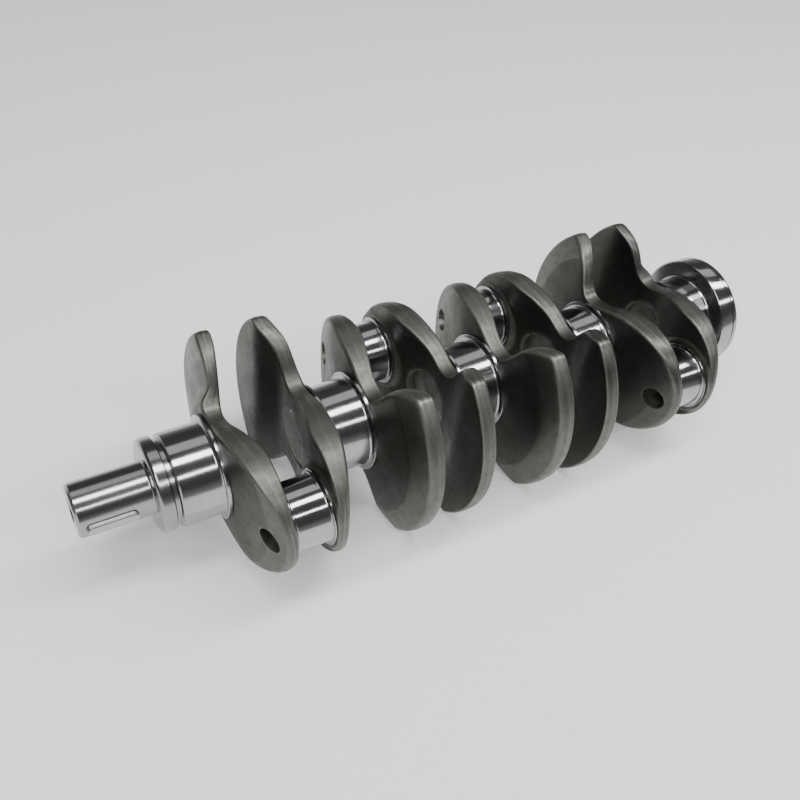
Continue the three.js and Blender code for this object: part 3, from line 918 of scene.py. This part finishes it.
def inside(points, loop):
    """Which points lie inside a closed loop."""
    x, y = points[:, :1], points[:, 1:]
    a, b = loop, np.roll(loop, -1, axis=0)
    crosses = (a[:, 1] > y) != (b[:, 1] > y)
    rise = np.where(b[:, 1] == a[:, 1], 1e-12, b[:, 1] - a[:, 1])
    at = (b[:, 0] - a[:, 0]) * (y - a[:, 1]) / rise + a[:, 0]
    return np.sum(crosses & (x < at), axis=1) % 2 == 1


def on_face(points, border, holes):
    """Which points lie inside a border and outside its holes."""
    keep = inside(points, border)
    for hole in holes:
        keep &= ~inside(points, hole)
    return keep


def away_from(points, others, distance):
    """The points that lie further than a distance from all the others."""
    gaps = np.linalg.norm(points[:, None] - others[None], axis=2).min(axis=1)
    return points[gaps > distance]


def flat_mesh(border, holes, features):
    """Triangulate a face between its border, its holes and some feature curves.

    Returns its points, its triangles and, for each point, the number of the input point
    that it came from, counted along the border and then the holes.
    """
    spacing = 2.1 * MM
    loops = [border] + holes
    fixed = np.concatenate(loops)
    rails = [away_from(curve[on_face(curve, border, holes)], fixed, 0.9 * MM) for curve in features]
    u = np.arange(-CW_R, TIP_U, spacing)
    v = np.arange(-CW_R, CW_R, spacing)
    grid = np.stack(np.meshgrid(u, v), -1).reshape(-1, 2)
    grid[:, 0] += (np.round(grid[:, 1] / spacing) % 2) * spacing / 2
    curves = np.concatenate([fixed] + rails)
    grid = away_from(grid[on_face(grid, border, holes)], curves, 1.3 * MM)
    edges = []
    start = 0
    for loop in loops:
        edges += [(start + k, start + (k + 1) % len(loop)) for k in range(len(loop))]
        start += len(loop)
    points = [Vector(p) for p in np.concatenate([curves, grid])]
    result = delaunay_2d_cdt(points, edges, [], 0, 1e-9)
    flat = np.array([tuple(p) for p in result[0]])
    triangles = np.array(result[2])
    keep = on_face(flat[triangles].mean(axis=1), border, holes)
    return flat, triangles[keep], [origin[0] for origin in result[3]]


class WebMesh:
    """Closed web with rounded edges, a through socket and a blind pin socket."""

    def __init__(self, is_end):
        self.bm = bmesh.new()
        self.is_end = is_end
        outline, inward = web_outline()
        hub = [circle_points(0, r, 150) for r in np.linspace(HUB_R, HUB_FOOT_R, 7)]
        seat = [circle_points(0, FLAT_R, 110)]
        crease = [circle_points(0, CREASE_R + d, 200) for d in (-1 * MM, 1 * MM)]
        boss = [circle_points(THROW, BOSS_R + BOSS_SKIRT * t, 110) for t in (0, 0.33, 0.67, 1)]
        socket = circle_points(0, SOCKET_R + SOCKET_BEVEL, SOCKET_ROUND)
        pin_socket = circle_points(THROW, PIN_SOCKET_R + SOCKET_BEVEL, PIN_SOCKET_ROUND)
        top_rim, top_socket = self.face(
            outline + inward * TOP_ROUND, [socket], crease + (hub if is_end else seat), True)
        low_rim, low_socket, low_pin_socket = self.face(
            outline + inward * LOW_ROUND, [socket, pin_socket], boss, False)
        self.bridge([top_rim] + self.rim(outline, inward) + [low_rim])
        wall = circle_points(0, SOCKET_R, SOCKET_ROUND)
        upper = self.ring(wall, [WEB_THICKNESS - SOCKET_BEVEL] * SOCKET_ROUND)
        lower = self.ring(wall, self.inner(wall) + SOCKET_BEVEL)
        self.bridge([low_socket, lower, upper, top_socket])
        self.close_pin_socket(low_pin_socket)

    def outer(self, points):
        return outer_height(points[:, 0], points[:, 1], self.is_end)

    def inner(self, points):
        return inner_height(points[:, 0], points[:, 1], self.is_end)

    def ring(self, points, heights):
        return [self.bm.verts.new((p[0], p[1], h)) for p, h in zip(points, heights)]

    def bridge(self, rings):
        for a, b in zip(rings, rings[1:]):
            for k in range(len(a)):
                n = (k + 1) % len(a)
                self.bm.faces.new((a[k], b[k], b[n], a[n]))

    def face(self, border, holes, features, is_top):
        """Add the outer or the inner face and give back the corners of its loops."""
        flat, triangles, source = flat_mesh(border, holes, features)
        verts = self.ring(flat, self.outer(flat) if is_top else self.inner(flat))
        for a, b, c in triangles:
            self.bm.faces.new((verts[a], verts[b], verts[c]) if is_top
                              else (verts[a], verts[c], verts[b]))
        by_source = {s: verts[k] for k, s in enumerate(source)}
        loops = []
        start = 0
        for loop in [border] + holes:
            loops.append([by_source[start + k] for k in range(len(loop))])
            start += len(loop)
        return loops

    def rim(self, outline, inward):
        """Rings from the outer to the inner face: a round, the forging flash and a round."""
        rings = []
        for k in range(1, RIM_STEPS + 1):
            a = math.pi / 2 * k / RIM_STEPS
            at = outline + inward * TOP_ROUND * (1 - math.sin(a))
            rings.append(self.ring(at, self.outer(at) - TOP_ROUND * (1 - math.cos(a))))
        high = self.outer(outline) - TOP_ROUND
        deep = self.inner(outline) + LOW_ROUND
        half = np.minimum(FLASH_WIDTH / 2, 0.35 * (high - deep))
        for step, proud in ((1, 0), (0.6, 1), (-0.6, 1), (-1, 0)):
            at = outline - inward * FLASH_PROUD * proud
            rings.append(self.ring(at, (high + deep) / 2 + half * step))
        for k in range(RIM_STEPS):
            a = math.pi / 2 * k / RIM_STEPS
            at = outline + inward * LOW_ROUND * (1 - math.cos(a))
            rings.append(self.ring(at, self.inner(at) + LOW_ROUND * (1 - math.sin(a))))
        return rings

    def close_pin_socket(self, edge):
        """Bevel, wall and floor of the blind socket for the crankpin's stub."""
        wall = circle_points(THROW, PIN_SOCKET_R, PIN_SOCKET_ROUND)
        depth = PIN_STUB + SEAM
        mouth = self.ring(wall, [SOCKET_BEVEL] * PIN_SOCKET_ROUND)
        floor = self.ring(wall, [depth] * PIN_SOCKET_ROUND)
        self.bridge([edge, mouth, floor])
        centre = self.bm.verts.new((THROW, 0, depth))
        for k in range(PIN_SOCKET_ROUND):
            self.bm.faces.new((centre, floor[k], floor[(k + 1) % PIN_SOCKET_ROUND]))


def web_place(k):
    """Matrix that puts web k = 1..8 on its throw; odd webs face the nose."""
    i = (k - 1) // 2
    outward = Vector((-1 if k % 2 else 1, 0, 0))
    u = Vector((0, PIN_SIDE[i], 0))
    axes = Matrix((u, outward.cross(u), outward)).transposed().to_4x4()
    return Matrix.Translation((PIN_X[i] + outward.x * PIN_WIDTH / 2, 0, 0)) @ axes


def mouth_cutter(place=Matrix()):
    """Lightening bore of a web, which is on its throw or still in its own axes."""
    foot, axis = place @ MOUTH_FOOT, place.to_3x3() @ MOUTH_AXIS
    return cylinder(MOUTH_R, MOUTH_LENGTH, foot, axis, segments=56)


def webs():
    blanks = {}
    for is_end in (False, True):
        blank = new_object("web_blank", WebMesh(is_end).bm, FORGED)
        cut(blank, [mouth_cutter()])
        soften(blank, 0.7 * MM, MOUTH_FOOT, 12 * MM)
        blanks[is_end] = blank
    for k in range(1, 9):
        mesh = blanks[k in (1, 8)].data.copy()
        mesh.transform(web_place(k))
        obj = bpy.data.objects.new(f"web_{k}_forged", mesh)
        bpy.context.scene.collection.objects.link(obj)
        shade(obj, 38)
        even_normals(obj)
        outward = -1 if k % 2 else 1
        # outward faces get the full painted light band
        paint(obj, PAINTED_LIGHT_BANDED, lambda c, n: n.x * outward > 0)
        declare(obj, "crankshaft", f"web_{k}")
    for blank in blanks.values():
        bpy.data.objects.remove(blank)


# ---- stage ------------------------------------------------------------------------------------
def stage():
    """Pale floor just under the lowest web, with a little light of its own against shadows."""
    g = Graph("studio_floor")
    speck = g.noise(300, detail=2)
    g.finish(g.mix(speck, (0.80, 0.80, 0.79), (0.83, 0.83, 0.82)), 0.75, 0.0)
    g.shader.inputs["Emission Color"].default_value = (0.98, 0.99, 1.0, 1)
    g.shader.inputs["Emission Strength"].default_value = 0.23
    bm = bmesh.new()
    bmesh.ops.create_grid(bm, x_segments=4, y_segments=4, size=6)
    shift(bm, z=CAD_BOX[0][2] - 0.2 * MM)
    new_object("floor", bm, g.material)


def aim(obj, at, right, up, back):
    """Put a camera or a lamp, which looks along -back, at a point."""
    obj.matrix_world = Matrix.Translation(at) @ Matrix((right, up, back)).transposed().to_4x4()


def camera():
    """Wide view from ahead of the nose, looking down across the throws, fitted to the photo."""
    eye = Vector((NOSE_END - 27.4 * MM, -319.9 * MM, 396.7 * MM))
    forward = Vector((0.4126, 0.5760, -0.7057)).normalized()
    level = Vector((0.8671, -0.4857, 0.1105))
    right = (level - forward * level.dot(forward)).normalized()
    data = bpy.data.cameras.new("camera")
    data.sensor_width = 36
    data.lens = 40.13
    data.clip_start = 10 * MM
    obj = bpy.data.objects.new("camera", data)
    bpy.context.scene.collection.objects.link(obj)
    aim(obj, eye, right, right.cross(forward), -forward)
    bpy.context.scene.camera = obj


def softbox(name, bearing, distance, x, length, width, power):
    """Rectangular lamp parallel to the shaft; bearing 0 is level on the -Y side, 90 overhead."""
    data = bpy.data.lights.new(name, "AREA")
    data.shape = "RECTANGLE"
    data.size = length
    data.size_y = width
    data.energy = power
    obj = bpy.data.objects.new(name, data)
    bpy.context.scene.collection.objects.link(obj)
    a = math.radians(bearing)
    outward = Vector((0, -math.cos(a), math.sin(a)))
    along = Vector((1, 0, 0))
    aim(obj, outward * distance + along * x, along, outward.cross(along), outward)


def lights():
    """Two strips for the journals' highlights, two softer lamps and a sky that dims upwards."""
    world = bpy.data.worlds.new("studio")
    world.use_nodes = True
    nodes, links = world.node_tree.nodes, world.node_tree.links
    height = nodes.new("ShaderNodeSeparateXYZ")
    links.new(nodes.new("ShaderNodeTexCoord").outputs["Generated"], height.inputs[0])
    fade = nodes.new("ShaderNodeMapRange")
    links.new(height.outputs["Z"], fade.inputs["Value"])
    fade.inputs["From Min"].default_value = 0.05
    fade.inputs["From Max"].default_value = 0.3
    fade.inputs["To Min"].default_value = 0.33
    fade.inputs["To Max"].default_value = 0.1
    nodes["Background"].inputs["Color"].default_value = (0.96, 0.98, 1.0, 1)
    links.new(fade.outputs["Result"], nodes["Background"].inputs["Strength"])
    bpy.context.scene.world = world
    softbox("strip_top", bearing=84, distance=1.25, x=0.5, length=2.6, width=0.26, power=27)
    softbox("strip_front", bearing=48, distance=1.25, x=0.5, length=2.6, width=0.11, power=9)
    softbox("fill_back", bearing=118, distance=1.5, x=0.4, length=2.6, width=0.6, power=4)
    softbox("key", bearing=62, distance=1.6, x=-1.1, length=0.9, width=0.7, power=13)


main_journals()
crankpins()
nose()
snout_key()
tail()
dowel()
pilot_bearing()
webs()
stage()
camera()
lights()
